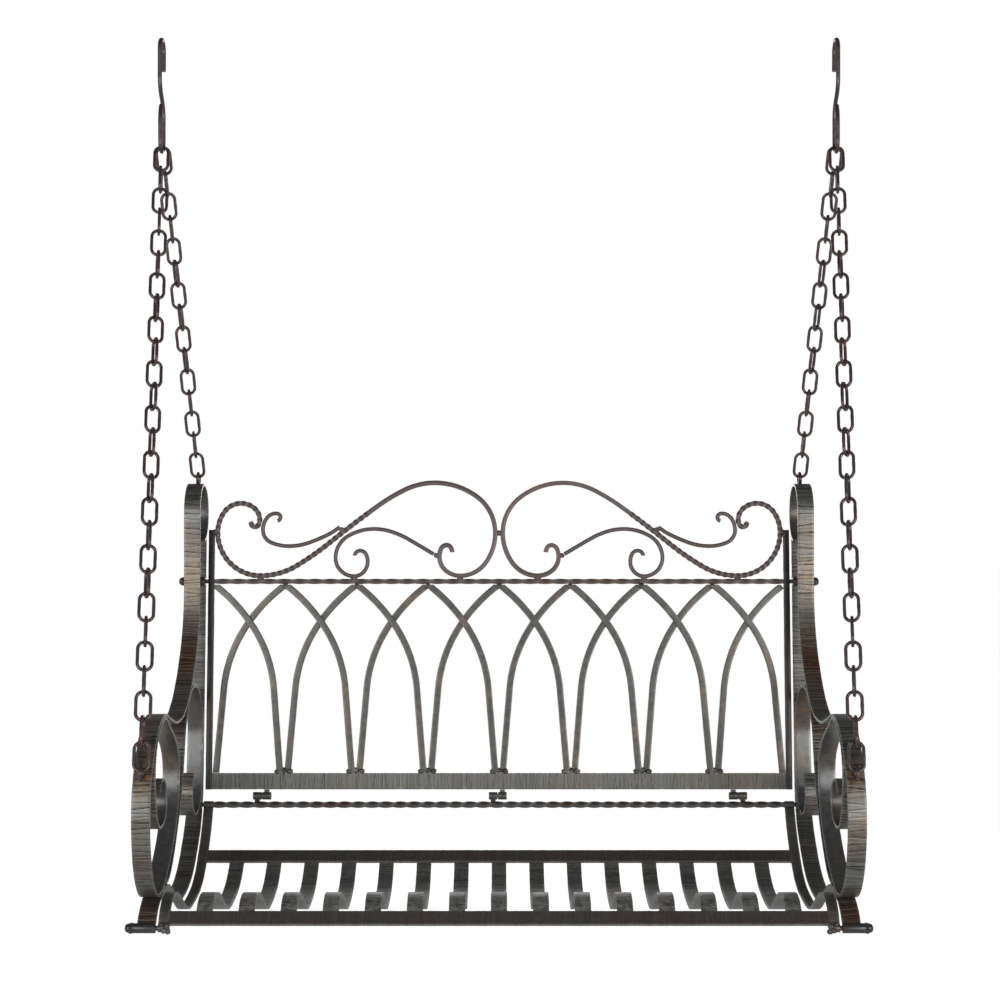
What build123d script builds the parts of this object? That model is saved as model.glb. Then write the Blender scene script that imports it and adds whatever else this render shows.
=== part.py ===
from build123d import *
import os
from math import atan2, cos, degrees, hypot, radians, sin, sqrt, tan

# Porch swing of hammered flat bar. Two scrolled side frames carry a slatted seat and a hinged back,
# and hang from two S-hooks on four chains. Millimetres, +X right, +Y to the back, +Z up.
# The origin is the middle of the hanging line, where the hooks bear on whatever holds the swing.
# Profiles are drawn as (depth, height) from the axis of the two front bolts.
# A bend is a station: depth, height and heading in degrees, and two arcs join each pair of stations.

# Widths across the swing
FRAME_SPACING = 1198.0
HOOK_SPACING = 1262.0
SEAT_SIDE_GAP = 4.0
BACK_SIDE_GAP = 6.0

# Clearances
SEATING_GAP = 0.3
LINK_CLEARANCE = 0.2
BOLT_CLEARANCE = 0.2
PIN_CLEARANCE = 0.05
KNUCKLE_GAP = 1.2

# Side frames: bent flat bar
BAR_WIDTH = 32.0
BAR_THICKNESS = 5.0
LOOP_RADIUS = 58.0
LOOP_CENTRE = (552.0, 701.0)
LOOP_TAIL_ANGLE = -80.0
BAND_FOOT_HEIGHT = 560.0
ARM_REST = (367.0, 359.0, 214.0)
ARM_CREST = (105.0, 352.0, 180.0)
FRONT_EYE_SEAT = (-35.0, 262.0, 240.0)
SUPPORT_REST = (70.0, 46.0, 15.0)
SUPPORT_CREST = (112.0, 51.0, 0.0)
POST_FOOT_HEIGHT = 160.0
POST_TOUCH_HEIGHT = 262.0

# Bolts, bushes and acorn nuts
BOLT_DIAMETER = 8.0
BUSH_DIAMETER = 17.0
LUG_DIAMETER = 14.0
BARREL_OVERHANG = 7.0
STUD_STEP = 2.0
NUT_ACROSS_FLATS = 17.0
NUT_HEX_HEIGHT = 5.0
NUT_DOME_DIAMETER = 16.0
NUT_DOME_HEIGHT = 8.0
NUT_DOME_ROUNDING = 6.5
NUT_BORE_DEPTH = 9.0

# Seat panel
SEAT_BAR_WIDTH = 19.0
SEAT_THICKNESS = 5.0
SLAT_COUNT = 15
SLAT_WIDTH = 28.0
FRONT_RAIL_WIDTH = 28.0
REAR_RAIL_WIDTH = 30.0
FRONT_RAIL_EDGE = (-5.0, 7.0, 45.0)
REAR_RAIL_EDGE = (425.0, 34.0, 38.0)
SEAT_HINGE_AXIS = (515.0, 129.0)
HINGE_RAIL_SIZE = 9.6
HINGE_RAIL_TWIST = 109.0

# Back panel, measured up its own slope from the hinge pins
HINGE_PIN_AXIS = (524.0, 145.0)
BACK_LEAN = 5.2
UPRIGHT_SIZE = 12.0
UPRIGHT_TOP = 524.0
BOTTOM_RAIL_FOOT = 12.5
BOTTOM_RAIL_HEIGHT = 32.0
BOTTOM_RAIL_THICKNESS = 5.0
TOP_RAIL_RISE = 421.7
TOP_RAIL_SIZE = 8.5
TOP_RAIL_TWIST = 122.0
BAY_COUNT = 8
ARCH_BAR_WIDTH = 13.0
ARCH_BAR_THICKNESS = 4.0
ARCH_FOOT_OFFSET = 7.4
ARCH_LEG_LEAN = 4.7
ARCH_LEG_RISE = 165.0
ARCH_HEAD_HEADING = 37.0
REAR_ARCH_STEPS = (-4.0,)
FRONT_ARCH_STEPS = (0.0, 20.0)
CREST_ROD_DIAMETER = 10.0
TENDRIL_DIAMETER = 8.0

# Barrel hinges
KNUCKLE_DIAMETER = 15.0
KNUCKLE_LENGTH = 17.0
HINGE_PIN_DIAMETER = 8.0
HINGE_STUB_WIDTH = 10.0
HINGE_STUB_THICKNESS = 5.0
HINGE_STUB_SEAT = 1.15
CENTRE_STUB_PLACE = -11.5

# Chains, eyes and hooks
CHAIN_WIRE = 6.0
CHAIN_PITCH = 43.4
LINK_INNER_WIDTH = 19.0
FRONT_LINKS = 27
REAR_LINKS = 15
EYE_WIRE = 7.0
EYE_RADIUS = 10.5
REAR_EYE_ANGLE = 70.0
HOOK_WIRE = 8.0
RING_RADIUS = 18.0
HOOK_RADIUS = 22.0
HOOK_RISE = 169.0
HOOK_TIP_DROP = 33.0

# Places that follow from the sizes above
FRAME_MID = FRAME_SPACING / 2
FRAME_INNER = FRAME_MID - BAR_WIDTH / 2
FRAME_OUTER = FRAME_MID + BAR_WIDTH / 2
SEAT_OUTER = FRAME_INNER - SEAT_SIDE_GAP
SEAT_INNER = SEAT_OUTER - SEAT_BAR_WIDTH
BACK_OUTER = FRAME_INNER - BACK_SIDE_GAP
BACK_INNER = BACK_OUTER - UPRIGHT_SIZE
BUSH_REACH = BUSH_DIAMETER / 2 + SEATING_GAP
BOLT_BORE = BOLT_DIAMETER + 2 * BOLT_CLEARANCE
PIN_BORE = HINGE_PIN_DIAMETER + 2 * PIN_CLEARANCE
POST_HEADING = 90 - BACK_LEAN
FRONT_AXIS = (0.0, 0.0)


def direction(heading):
    """Unit step along a heading."""
    return (cos(radians(heading)), sin(radians(heading)))


def beside(station, distance):
    """Station moved to its own left by a distance."""
    along, across = direction(station[2])
    return (station[0] - distance * across, station[1] + distance * along, station[2])


def ahead(station, distance):
    """Station moved along its own heading by a distance."""
    along, across = direction(station[2])
    return (station[0] + distance * along, station[1] + distance * across, station[2])


def turned(station):
    """Station with its heading reversed."""
    return (station[0], station[1], station[2] + 180)


def on_circle(centre, radius, angle):
    """Station on a circle that is run anticlockwise."""
    step = direction(angle)
    return (centre[0] + radius * step[0], centre[1] + radius * step[1], angle + 90)


def meeting(first, second):
    """Station where the two arcs from one station to the next meet."""
    ax, ay = direction(first[2])
    bx, by = direction(second[2])
    cx, cy = second[0] - first[0], second[1] - first[1]
    lean = cx * (ax + bx) + cy * (ay + by)
    spread = 2 * (1 - ax * bx - ay * by)
    gap = cx * cx + cy * cy
    if spread < 1e-9:
        reach = gap / (2 * lean)
    else:
        reach = (sqrt(lean * lean + spread * gap) - lean) / spread
    near = (first[0] + reach * ax, first[1] + reach * ay)
    far = (second[0] - reach * bx, second[1] - reach * by)
    heading = degrees(atan2(far[1] - near[1], far[0] - near[0]))
    return ((near[0] + far[0]) / 2, (near[1] + far[1]) / 2, heading)


def full_run(stations):
    """Stations with the meeting point of the two arcs put in between each pair."""
    run = [stations[0]]
    for first, second in zip(stations, stations[1:]):
        run += [meeting(first, second), second]
    return run


def draw_run(run):
    """Draw the arc or straight line between each pair of neighbouring stations."""
    for first, second in zip(run, run[1:]):
        chord = (second[0] - first[0], second[1] - first[1])
        turn = radians(first[2]) - atan2(chord[1], chord[0])
        turn = atan2(sin(turn), cos(turn))
        if abs(turn) < 1e-5:
            Line(first[:2], second[:2])
        else:
            rise = tan(turn / 2) / 2
            middle = (
                (first[0] + second[0]) / 2 - chord[1] * rise,
                (first[1] + second[1]) / 2 + chord[0] * rise,
            )
            ThreePointArc(first[:2], middle, second[:2])


def strip(plane, stations, thickness, width):
    """Flat bar bent along the stations, thickened to the left of its run and extruded."""
    face_line = full_run(stations)
    back_line = [beside(station, thickness) for station in face_line]
    with BuildPart() as bar:
        with BuildSketch(plane):
            with BuildLine():
                draw_run(face_line)
                draw_run(back_line)
                Line(face_line[0][:2], back_line[0][:2])
                Line(face_line[-1][:2], back_line[-1][:2])
            make_face()
        extrude(amount=width)
    return bar.part


def rod(plane, stations, diameter):
    """Round bar bent along the stations."""
    with BuildPart() as bar:
        with BuildLine(plane) as path:
            draw_run(full_run(stations))
        with BuildSketch(Plane(origin=path.line @ 0, z_dir=path.line % 0)):
            Circle(diameter / 2)
        sweep(path=path.wires()[0])
    return bar.part


def save(name, piece):
    """Label a piece and write it as its own file."""
    piece.label = name
    export_step(piece, "parts/" + name + ".step")


def mirrored(piece):
    """Mirror image of a piece, on the other side of the swing."""
    return mirror(piece, about=Plane.YZ)


def save_pair(name, piece):
    """Write a right-hand piece and its mirror image."""
    save("right_" + name, piece)
    save("left_" + name, mirrored(piece))


def group(solids):
    """Separate solids that share one node."""
    return Compound(children=list(solids))


# Hanging point: the chains run straight from the middle of the hook's lower arc to the eyes' middles
EYE_SEAT = EYE_RADIUS + EYE_WIRE / 2 + SEATING_GAP
front_eye = beside(FRONT_EYE_SEAT, -EYE_SEAT)[:2]
rear_eye = on_circle(LOOP_CENTRE, LOOP_RADIUS + EYE_SEAT, REAR_EYE_ANGLE)[:2]
chain_ends = RING_RADIUS - HOOK_WIRE / 2 + EYE_RADIUS - EYE_WIRE / 2 - LINK_CLEARANCE
chain_lean = HOOK_SPACING / 2 - FRAME_MID
front_reach = sqrt((chain_ends + FRONT_LINKS * CHAIN_PITCH) ** 2 - chain_lean**2)
rear_reach = sqrt((chain_ends + REAR_LINKS * CHAIN_PITCH) ** 2 - chain_lean**2)
eye_step = (rear_eye[0] - front_eye[0], rear_eye[1] - front_eye[1])
eye_distance = hypot(*eye_step)
along_eyes = (front_reach**2 - rear_reach**2 + eye_distance**2) / (2 * eye_distance)
above_eyes = sqrt(front_reach**2 - along_eyes**2)
RING_MIDDLE = (
    front_eye[0] + (along_eyes * eye_step[0] - above_eyes * eye_step[1]) / eye_distance,
    front_eye[1] + (along_eyes * eye_step[1] + above_eyes * eye_step[0]) / eye_distance,
)
HANG_DEPTH = RING_MIDDLE[0]
HANG_HEIGHT = RING_MIDDLE[1] + HOOK_RISE + HOOK_RADIUS - HOOK_WIRE / 2


def place(across, point):
    """Point in the swing's frame from its depth and height."""
    return Vector(across, point[0] - HANG_DEPTH, point[1] - HANG_HEIGHT)


def side_plane(across):
    """Upright plane square to X, drawn in depth and height from the front bolts."""
    return Plane(origin=place(across, FRONT_AXIS), x_dir=(0, 1, 0), z_dir=(1, 0, 0))


BACK_PLANE = Plane(
    origin=place(0, HINGE_PIN_AXIS),
    x_dir=(1, 0, 0),
    z_dir=(0, -cos(radians(BACK_LEAN)), sin(radians(BACK_LEAN))),
)
UPPER_BOLT_AXIS = ahead((*HINGE_PIN_AXIS, POST_HEADING), TOP_RAIL_RISE)[:2]
post_at_bolt = beside((*UPPER_BOLT_AXIS, POST_HEADING), -BUSH_REACH)


def post_station(height):
    """Station on the front face of the rear post at a height."""
    depth = post_at_bolt[0] + (height - post_at_bolt[1]) * tan(radians(BACK_LEAN))
    return (depth, height, POST_HEADING)


os.makedirs("parts", exist_ok=True)

# Arm bars: top loop, front band, arm, front scroll and its inner curl, all in one bar
arm_run = [
    on_circle(LOOP_CENTRE, LOOP_RADIUS, LOOP_TAIL_ANGLE),
    on_circle(LOOP_CENTRE, LOOP_RADIUS, 0),
    on_circle(LOOP_CENTRE, LOOP_RADIUS, 90),
    on_circle(LOOP_CENTRE, LOOP_RADIUS, 180),
    (LOOP_CENTRE[0] - LOOP_RADIUS, BAND_FOOT_HEIGHT, 270),
    (440, 424, 228),
    ARM_REST,
    (330, 340, 206),
    (240, 325, 180),
    (165, 338, 168),
    ARM_CREST,
    (17, 323, 222),
    FRONT_EYE_SEAT,
    (-53, 190, 270),
    (-28, 94, 301),
    beside(SUPPORT_REST, SEATING_GAP),
    (176, 102, 36),
    (258, 232, 90),
    (205, 300, 150),
    (145, 330, 155),
    beside(ARM_CREST, BAR_THICKNESS + SEATING_GAP),
    (0, 256, 270),
    (62, 158, 0),
    (121, 203, 90),
    (78, 243, 180),
    (48, 222, 250),
]
save_pair("arm_bar", strip(side_plane(FRAME_INNER), arm_run, BAR_THICKNESS, BAR_WIDTH))

# Seat supports: from the front barrel, under the seat and up as the rear post to the top loop
post_depth = post_station(LOOP_CENTRE[1] - LOOP_RADIUS)[0]
post_top = LOOP_CENTRE[1] - sqrt(LOOP_RADIUS**2 - (post_depth - LOOP_CENTRE[0]) ** 2) - SEATING_GAP
support_root = (*on_circle(FRONT_AXIS, BUSH_REACH, 50)[:2], 50)
support_run = [
    beside(support_root, BAR_THICKNESS / 2),
    SUPPORT_REST,
    SUPPORT_CREST,
    (195, 24, -29),
    (278, -4, 0),
    (439, 38, 35),
    beside((*SEAT_HINGE_AXIS, 68), -BUSH_REACH),
    post_station(POST_FOOT_HEIGHT),
    post_station(post_top),
]
support_under = [beside(station, -BAR_THICKNESS) for station in support_run]
save_pair("seat_support", strip(side_plane(FRAME_INNER), support_under, BAR_THICKNESS, BAR_WIDTH))

# Infill scrolls: up from the seat support, under the arm, down the post and into a curl
infill_run = [
    beside(SUPPORT_CREST, BAR_THICKNESS + SEATING_GAP),
    (188, 92, 42),
    (268, 182, 57),
    turned(beside(ARM_REST, BAR_THICKNESS + SEATING_GAP)),
    (430, 371, 0),
    turned(beside(post_station(POST_TOUCH_HEIGHT), SEATING_GAP)),
    (455, 118, 180),
    (402, 165, 90),
    (418, 205, 60),
]
infill_under = [beside(station, -BAR_THICKNESS) for station in infill_run]
save_pair("infill_scroll", strip(side_plane(FRAME_INNER), infill_under, BAR_THICKNESS, BAR_WIDTH))


def tube(start, end, axis, outer, bore):
    """Tube along X between two places, round an axis given in depth and height."""
    with BuildPart() as sleeve:
        with BuildSketch(side_plane(start)):
            with Locations(axis):
                Circle(outer / 2)
                Circle(bore / 2, mode=Mode.SUBTRACT)
        extrude(amount=end - start)
    return sleeve.part


def pin(start, end, axis, diameter):
    """Round bar along X between two places, with broken edges."""
    with BuildPart() as bar:
        with BuildSketch(side_plane(start)):
            with Locations(axis):
                Circle(diameter / 2)
        extrude(amount=end - start)
        chamfer(bar.edges().filter_by(GeomType.CIRCLE), diameter / 16)
    return bar.part


def acorn_nut(axis, seat):
    """Domed nut on a bolt's outer end."""
    with BuildPart() as nut:
        with BuildSketch(side_plane(seat)):
            with Locations(axis):
                RegularPolygon(NUT_ACROSS_FLATS / 2, 6, major_radius=False)
        extrude(amount=NUT_HEX_HEIGHT)
        with BuildSketch(side_plane(seat + NUT_HEX_HEIGHT)):
            with Locations(axis):
                Circle(NUT_DOME_DIAMETER / 2)
        extrude(amount=NUT_DOME_HEIGHT)
        fillet(nut.edges().sort_by(Axis.X)[-1], NUT_DOME_ROUNDING)
        with BuildSketch(side_plane(seat)):
            with Locations(axis):
                Circle(BOLT_BORE / 2)
        extrude(amount=NUT_BORE_DEPTH, mode=Mode.SUBTRACT)
    return nut.part


# Bushes, bolts and nuts of each side frame: front barrel, rear seat bush and upper back bush
bush_ends = [
    (FRONT_AXIS, FRAME_OUTER + BARREL_OVERHANG),
    (SEAT_HINGE_AXIS, FRAME_OUTER + BARREL_OVERHANG),
    (UPPER_BOLT_AXIS, FRAME_OUTER + BARREL_OVERHANG),
]
bushes = [tube(FRAME_INNER, end, axis, BUSH_DIAMETER, BOLT_BORE) for axis, end in bush_ends]
save("right_frame_bushes", group(bushes))
save("left_frame_bushes", group(mirrored(bush) for bush in bushes))
bolt_starts = [SEAT_INNER + STUD_STEP, SEAT_INNER + STUD_STEP, BACK_OUTER + SEATING_GAP]
bolt_tip = NUT_BORE_DEPTH - SEATING_GAP
bolts = [
    pin(start, seat + bolt_tip, axis, BOLT_DIAMETER)
    for (axis, seat), start in zip(bush_ends, bolt_starts)
]
save("frame_bolts", group(bolts + [mirrored(bolt) for bolt in bolts]))
nuts = [acorn_nut(axis, seat) for axis, seat in bush_ends]
save("acorn_nuts", group(nuts + [mirrored(nut) for nut in nuts]))

# Seat: one profile gives the rails, the slats and the side bars
front_rail_rear = ahead(FRONT_RAIL_EDGE, FRONT_RAIL_WIDTH)
rear_rail_rear = ahead(REAR_RAIL_EDGE, REAR_RAIL_WIDTH)
slat_run = [front_rail_rear, (64, 46, 0), (152, 18, -30), (242, -11, 0), REAR_RAIL_EDGE]
lug_reach = LUG_DIAMETER / 2 + SEATING_GAP
front_lug_root = (*on_circle(FRONT_AXIS, lug_reach, 60)[:2], 60)
rear_lug_root = (*on_circle(SEAT_HINGE_AXIS, lug_reach, 240)[:2], 60)
side_bar_run = [
    beside(front_lug_root, SEAT_THICKNESS / 2),
    *slat_run,
    rear_rail_rear,
    beside(rear_lug_root, SEAT_THICKNESS / 2),
]


def seat_strip(run, start, width):
    """Piece of the seat's curve with its upper face on the run."""
    under = [beside(station, -SEAT_THICKNESS) for station in run]
    return strip(side_plane(start), under, SEAT_THICKNESS, width)


save("seat_front_rail", seat_strip([FRONT_RAIL_EDGE, front_rail_rear], -SEAT_INNER, 2 * SEAT_INNER))
save("seat_rear_rail", seat_strip([REAR_RAIL_EDGE, rear_rail_rear], -SEAT_INNER, 2 * SEAT_INNER))
save_pair("seat_side_bar", seat_strip(side_bar_run, SEAT_INNER, SEAT_BAR_WIDTH))
slat_pitch = (2 * SEAT_INNER + SLAT_WIDTH) / (SLAT_COUNT + 1)
for number in range(SLAT_COUNT):
    slat_middle = (number - (SLAT_COUNT - 1) / 2) * slat_pitch
    save("seat_slat_" + str(number + 1), seat_strip(slat_run, slat_middle - SLAT_WIDTH / 2, SLAT_WIDTH))
lug_axes = (FRONT_AXIS, SEAT_HINGE_AXIS)
lugs = [tube(SEAT_INNER, SEAT_OUTER, axis, LUG_DIAMETER, BOLT_BORE) for axis in lug_axes]
save("seat_lugs", group(lugs + [mirrored(lug) for lug in lugs]))

# Twisted square bars: the seat's hinge rail and the back's top rail
STEPS_PER_TURN = 8


def twisted_bar(half_length, size, twist, axis, flat_angle, flat_place):
    """Square bar along X that turns once in each twist length, with one flat set at a place."""
    count = round(2 * half_length / twist * STEPS_PER_TURN)
    with BuildPart() as bar:
        for step in range(count + 1):
            across = half_length * (2 * step / count - 1)
            along, up = direction(flat_angle + 360 * (across - flat_place) / twist)
            with BuildSketch(Plane(origin=place(across, axis), x_dir=(0, along, up), z_dir=(1, 0, 0))):
                Rectangle(size, size)
        loft(ruled=True)
    return bar.part


pin_step = (HINGE_PIN_AXIS[0] - SEAT_HINGE_AXIS[0], HINGE_PIN_AXIS[1] - SEAT_HINGE_AXIS[1])
pin_angle = degrees(atan2(pin_step[1], pin_step[0]))
save(
    "seat_hinge_rail",
    twisted_bar(
        SEAT_INNER - SEATING_GAP,
        HINGE_RAIL_SIZE,
        HINGE_RAIL_TWIST,
        SEAT_HINGE_AXIS,
        pin_angle,
        CENTRE_STUB_PLACE,
    ),
)
save(
    "back_top_rail",
    twisted_bar(BACK_INNER - SEATING_GAP, TOP_RAIL_SIZE, TOP_RAIL_TWIST, UPPER_BOLT_AXIS, POST_HEADING, 0),
)

# Barrel hinges: each seat stub stands on a flat of the twisted rail, a whole number of quarter turns apart
QUARTER_TURN = HINGE_RAIL_TWIST / 4
knuckle_step = KNUCKLE_LENGTH + KNUCKLE_GAP
hinges = [
    (CENTRE_STUB_PLACE - 17 * QUARTER_TURN, knuckle_step),
    (CENTRE_STUB_PLACE, knuckle_step),
    (CENTRE_STUB_PLACE + 18 * QUARTER_TURN, -knuckle_step),
]
seat_stub_reach = hypot(*pin_step) - HINGE_RAIL_SIZE / 2 - HINGE_STUB_SEAT


def knuckle(middle, stub_heading, stub_reach):
    """Hinge barrel round the pin, with the flat stub that carries it."""
    along, up = direction(stub_heading)
    start = side_plane(middle - KNUCKLE_LENGTH / 2)
    with BuildPart() as barrel:
        with BuildSketch(Plane(origin=place(middle, HINGE_PIN_AXIS), x_dir=(1, 0, 0), z_dir=(0, along, up))):
            Rectangle(HINGE_STUB_WIDTH, HINGE_STUB_THICKNESS)
        extrude(amount=stub_reach)
        with BuildSketch(start):
            with Locations(HINGE_PIN_AXIS):
                Circle(KNUCKLE_DIAMETER / 2)
        extrude(amount=KNUCKLE_LENGTH)
        with BuildSketch(start):
            with Locations(HINGE_PIN_AXIS):
                Circle(PIN_BORE / 2)
        extrude(amount=KNUCKLE_LENGTH, mode=Mode.SUBTRACT)
    return barrel.part


seat_knuckles = [knuckle(middle, pin_angle + 180, seat_stub_reach) for middle, step in hinges]
back_stub = BOTTOM_RAIL_FOOT - SEATING_GAP
back_knuckles = [knuckle(middle + step, POST_HEADING, back_stub) for middle, step in hinges]
hinge_pins = []
for middle, step in hinges:
    pin_start = middle + step / 2 - knuckle_step / 2 - KNUCKLE_LENGTH / 2
    pin_end = pin_start + knuckle_step + KNUCKLE_LENGTH
    hinge_pins.append(pin(pin_start, pin_end, HINGE_PIN_AXIS, HINGE_PIN_DIAMETER))
save("seat_knuckles", group(seat_knuckles))
save("back_knuckles", group(back_knuckles))
save("hinge_pins", group(hinge_pins))

# Back panel: bottom rail and uprights
with BuildPart() as bottom_rail:
    with BuildSketch(BACK_PLANE.offset(-BOTTOM_RAIL_THICKNESS / 2)):
        with Locations((0, BOTTOM_RAIL_FOOT + BOTTOM_RAIL_HEIGHT / 2)):
            Rectangle(2 * BACK_INNER, BOTTOM_RAIL_HEIGHT)
    extrude(amount=BOTTOM_RAIL_THICKNESS)
save("back_bottom_rail", bottom_rail.part)
with BuildPart() as upright:
    with BuildSketch(BACK_PLANE.offset(-UPRIGHT_SIZE / 2)):
        with Locations((BACK_INNER + UPRIGHT_SIZE / 2, (BOTTOM_RAIL_FOOT + UPRIGHT_TOP) / 2)):
            Rectangle(UPRIGHT_SIZE, UPRIGHT_TOP - BOTTOM_RAIL_FOOT)
    extrude(amount=UPRIGHT_SIZE)
save_pair("back_upright", upright.part)

# Arch bars: in each bay one bar leans each way, and the two layers touch where they cross
bay_width = 2 * BACK_INNER / BAY_COUNT
rail_half = TOP_RAIL_SIZE / sqrt(2)
arch_foot = BOTTOM_RAIL_FOOT + BOTTOM_RAIL_HEIGHT + SEATING_GAP
arch_top = TOP_RAIL_RISE - rail_half - SEATING_GAP
arch_field = 2 * (BACK_INNER - SEATING_GAP)


def arch_bar(boundary, head_steps):
    """Bar behind the crossing, from the foot of a bay's left boundary to the head of its right one."""
    foot = (boundary + ARCH_FOOT_OFFSET, arch_foot, 90 - ARCH_LEG_LEAN)
    head = (boundary + bay_width, arch_top, ARCH_HEAD_HEADING)
    leg_ends = [ahead(foot, -ARCH_BAR_THICKNESS), ahead(foot, ARCH_LEG_RISE)]
    run = leg_ends + [ahead(head, step) for step in head_steps]
    edge_run = [beside(station, -ARCH_BAR_WIDTH / 2) for station in run]
    behind = BACK_PLANE.offset(-ARCH_BAR_THICKNESS - SEATING_GAP / 2)
    with BuildPart() as bar:
        add(strip(behind, edge_run, ARCH_BAR_WIDTH, ARCH_BAR_THICKNESS))
        with BuildSketch(behind):
            with Locations((0, (arch_foot + arch_top) / 2)):
                Rectangle(arch_field, arch_top - arch_foot)
        extrude(amount=ARCH_BAR_THICKNESS, mode=Mode.INTERSECT)
    return bar.part


# A rear bar ends behind the head of the front one, which runs on to the top rail
boundaries = [bay * bay_width - BACK_INNER for bay in range(BAY_COUNT)]
layer_step = BACK_PLANE.z_dir * (ARCH_BAR_THICKNESS + SEATING_GAP)
rear_arches = [arch_bar(boundary, REAR_ARCH_STEPS) for boundary in boundaries]
front_arches = [
    mirrored(arch_bar(boundary, FRONT_ARCH_STEPS)).moved(Location(layer_step)) for boundary in boundaries
]
save("rear_arch_bars", group(rear_arches))
save("front_arch_bars", group(front_arches))

# Crest of the back, drawn up the panel's slope from the middle of the top rail
def crest(across, rise, heading):
    """Station of the right half of the crest, at a rise above the top rail."""
    return (across, TOP_RAIL_RISE + rise, heading)


scroll_seat = TOP_RAIL_RISE + rail_half + SEATING_GAP + CREST_ROD_DIAMETER / 2
tendril_seat = TOP_RAIL_RISE + rail_half + SEATING_GAP + TENDRIL_DIAMETER / 2
scroll_run = [
    crest(495, 118.5, 245),
    crest(486.5, 108.5, 180),
    crest(476.5, 122.5, 90),
    crest(514, 155.7, 0),
    crest(BACK_INNER - CREST_ROD_DIAMETER / 2 - SEATING_GAP, 98.4, 270),
    (474, scroll_seat, 180),
    crest(338, 76.3, 141),
    crest(241, 150.7, 144),
    crest(128, 196.8, 180),
    crest(7.5, 96.4, 270),
    (77, scroll_seat, 0),
    crest(118.5, 49.2, 90),
    crest(104, 72.3, 180),
    crest(93, 58.3, 265),
]
save_pair("crest_scroll", rod(BACK_PLANE, scroll_run, CREST_ROD_DIAMETER))
outer_tendril_run = [
    crest(441, 120.5, 160),
    crest(435, 127.6, 90),
    crest(444, 135.6, 0),
    crest(470, 102.5, 270),
    crest(418, 70.3, 180),
    crest(338, 94.4, 153),
    crest(317, 108.0, 147),
]
save_pair("outer_tendril", rod(BACK_PLANE, outer_tendril_run, TENDRIL_DIAMETER))
inner_tendril_run = [
    crest(130, 54.3, 31),
    crest(181, 84.4, 30),
    crest(249, 104.5, 0),
    crest(325, 47.2, 270),
    (288, tendril_seat, 180),
    crest(261, 39.2, 90),
    crest(276, 61.3, 0),
    crest(287, 51.2, 275),
]
save_pair("inner_tendril", rod(BACK_PLANE, inner_tendril_run, TENDRIL_DIAMETER))

# Hooks: an open hook above, and a ring below that closes on its own shank
hook_run = [
    (HOOK_RADIUS, HOOK_RISE - HOOK_TIP_DROP, 90),
    (HOOK_RADIUS, HOOK_RISE, 90),
    (0, HOOK_RISE + HOOK_RADIUS, 180),
    (-HOOK_RADIUS, HOOK_RISE, 270),
    (-HOOK_RADIUS, HOOK_RISE - HOOK_TIP_DROP * 1.5, 270),
    (RING_RADIUS, 45, 270),
    (RING_RADIUS, 0, 270),
    (0, -RING_RADIUS, 180),
    (-RING_RADIUS, 0, 90),
    (-RING_RADIUS, 35, 90),
    (-7, 68, 55),
]
hook_plane = Plane(origin=place(HOOK_SPACING / 2, RING_MIDDLE), x_dir=(0, 1, 0), z_dir=(1, 0, 0))
save_pair("hook", rod(hook_plane, hook_run, HOOK_WIRE))

# Chains and eyes: each link hangs in the one above, turned a quarter
LINK_INNER_LENGTH = CHAIN_PITCH + LINK_CLEARANCE
link_bend = (LINK_INNER_WIDTH + CHAIN_WIRE) / 2
link_straight = (LINK_INNER_LENGTH + CHAIN_WIRE) / 2 - link_bend
with BuildPart() as half_link:
    with BuildLine() as link_path:
        draw_run([
            (0, -link_bend, 0),
            (link_straight, -link_bend, 0),
            (link_straight, link_bend, 180),
            (0, link_bend, 180),
        ])
    with BuildSketch(Plane(origin=link_path.line @ 0, z_dir=link_path.line % 0)):
        Circle(CHAIN_WIRE / 2)
    sweep(path=link_path.wires()[0])
    mirror(about=Plane.YZ)
link = half_link.part


def chain(eye, links):
    """Right-hand chain from the hook's ring to an eye."""
    top = place(HOOK_SPACING / 2, RING_MIDDLE)
    run = (place(FRAME_MID, eye) - top).normalized()
    first_wide = Vector(1, 0, 0) - run * run.X
    first = RING_RADIUS - HOOK_WIRE / 2 - LINK_CLEARANCE + LINK_INNER_LENGTH / 2
    hung = []
    for number in range(links):
        facing = run.cross(first_wide) if number % 2 == 0 else first_wide
        spot = Plane(origin=top + run * (first + number * CHAIN_PITCH), x_dir=run, z_dir=facing)
        hung.append(link.moved(spot.location))
    return hung


for name, eye, links in (("front", front_eye, FRONT_LINKS), ("rear", rear_eye, REAR_LINKS)):
    hung = chain(eye, links)
    save("right_" + name + "_chain", group(hung))
    save("left_" + name + "_chain", group(mirrored(piece) for piece in hung))
    with BuildPart() as eye_ring:
        with Locations(Location(Plane(origin=place(FRAME_MID, eye), x_dir=(0, 1, 0), z_dir=(1, 0, 0)))):
            Torus(EYE_RADIUS, EYE_WIRE / 2)
    save_pair(name + "_eye", eye_ring.part)
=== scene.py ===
import math
import random

import bpy
from mathutils import Matrix, Vector, noise


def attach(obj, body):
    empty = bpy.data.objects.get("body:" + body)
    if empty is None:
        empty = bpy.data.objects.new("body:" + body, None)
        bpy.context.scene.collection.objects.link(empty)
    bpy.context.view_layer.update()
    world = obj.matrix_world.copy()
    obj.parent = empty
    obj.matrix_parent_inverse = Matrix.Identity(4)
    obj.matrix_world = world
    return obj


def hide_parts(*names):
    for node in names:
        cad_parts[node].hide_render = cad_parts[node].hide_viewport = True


# Porch swing of hammered flat bar, twisted bar, rod and chain, dressed in the CAD model's frame.
# Bars are forged as a smith does it: a straight blank is cut, hammered or twisted, then bent along its run.
# Blanks and runs are in millimetres, and each finished piece is put into the row frame in metres.

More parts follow.
